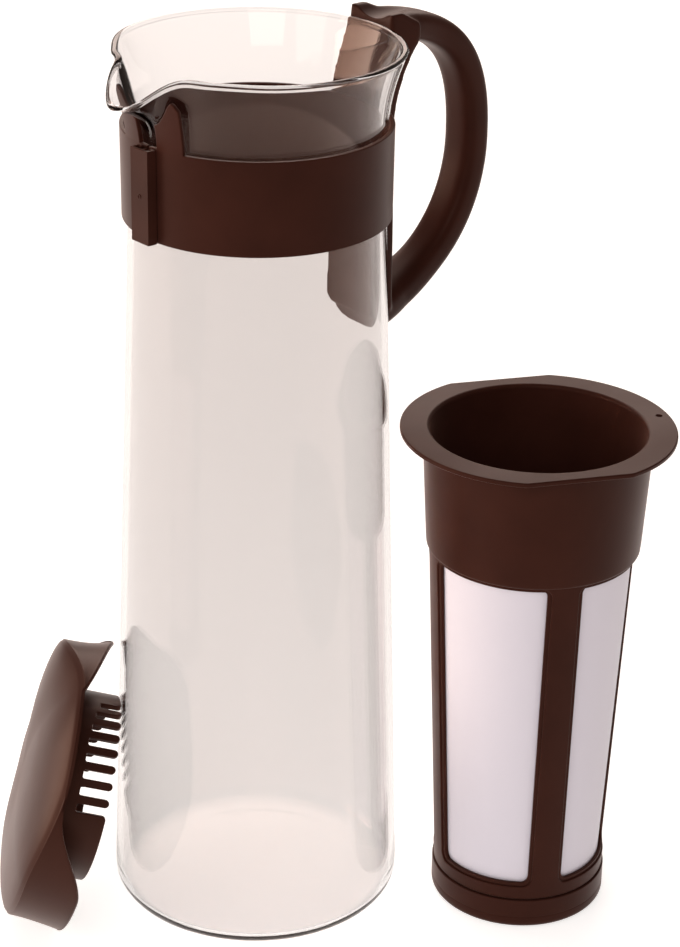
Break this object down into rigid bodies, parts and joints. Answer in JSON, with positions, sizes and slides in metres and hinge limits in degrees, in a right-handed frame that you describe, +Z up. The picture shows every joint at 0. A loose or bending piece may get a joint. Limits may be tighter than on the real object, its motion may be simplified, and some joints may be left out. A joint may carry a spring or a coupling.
{
  "type": "cold brew coffee maker",
  "caption": "Tapered glass carafe with a banded neck, looped handle and pouring spout, with its comb-skirted lid and its flanged mesh strainer taken out.",
  "frame": {"origin": "centre of the carafe's foot, on the table", "axes": "+Z up along the carafe's axis, +X towards the handle, -X towards the spout"},
  "size_m": [0.2043, 0.1679, 0.2915],
  "materials": {
    "clear_glass": "clear blown glass with a faint warm tint",
    "brown_plastic": "dark brown moulded plastic, semi-gloss",
    "fine_mesh": "fine woven pale mesh"
  },
  "bodies": {
    "carafe": {"carafe_glass": "clear_glass", "handle": "brown_plastic", "neck_band": "brown_plastic"},
    "clip": {"band_clip": "brown_plastic"},
    "lid": {"lid": "brown_plastic"},
    "strainer": {"strainer_frame": "brown_plastic", "strainer_mesh": "fine_mesh", "strainer_base": "brown_plastic"}
  },
  "joints": [
    {"name": "clip_slide", "type": "slide", "parent": "carafe", "child": "clip", "axis": [0, 0, -1], "range_m": [0, 0.025]},
    {"name": "lid_lift", "type": "slide", "parent": "carafe", "child": "lid", "axis": [0, 0, 1], "range_m": [0, 0.15]},
    {"name": "strainer_lift", "type": "slide", "parent": "carafe", "child": "strainer", "axis": [0, 0, 1], "range_m": [0, 0.25]}
  ]
}
